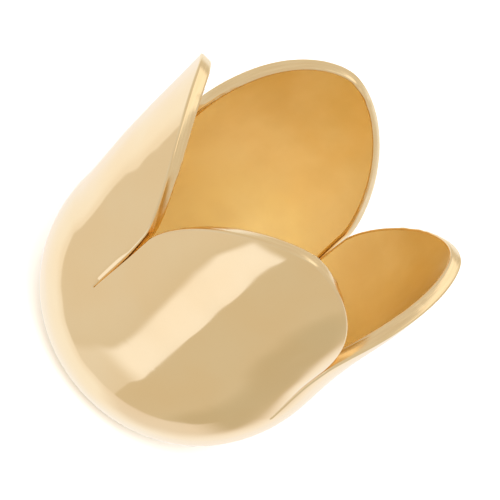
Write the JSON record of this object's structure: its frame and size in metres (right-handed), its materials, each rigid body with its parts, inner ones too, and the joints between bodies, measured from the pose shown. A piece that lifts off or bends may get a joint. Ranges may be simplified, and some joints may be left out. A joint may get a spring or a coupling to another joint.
{
  "type": "bead cap",
  "caption": "Tulip-shaped bead cap in polished gold-coloured sheet metal: a round bowl with a thread hole, slit upwards into tall rounded petals that cup a bead.",
  "frame": {"origin": "centre of the thread hole, in the plane of the flat base ring that the cap stands on", "axes": "+Z along the cap's axis from the base to the petal tips, +X through the middle of one petal, +Y through the middle of the next"},
  "size_m": [0.0094, 0.0094, 0.0099],
  "materials": {
    "gold_plate": "polished warm gold plating, mirror bright outside and satin inside"
  },
  "bodies": {
    "root": {"petal_cap": "gold_plate"}
  },
  "joints": []
}
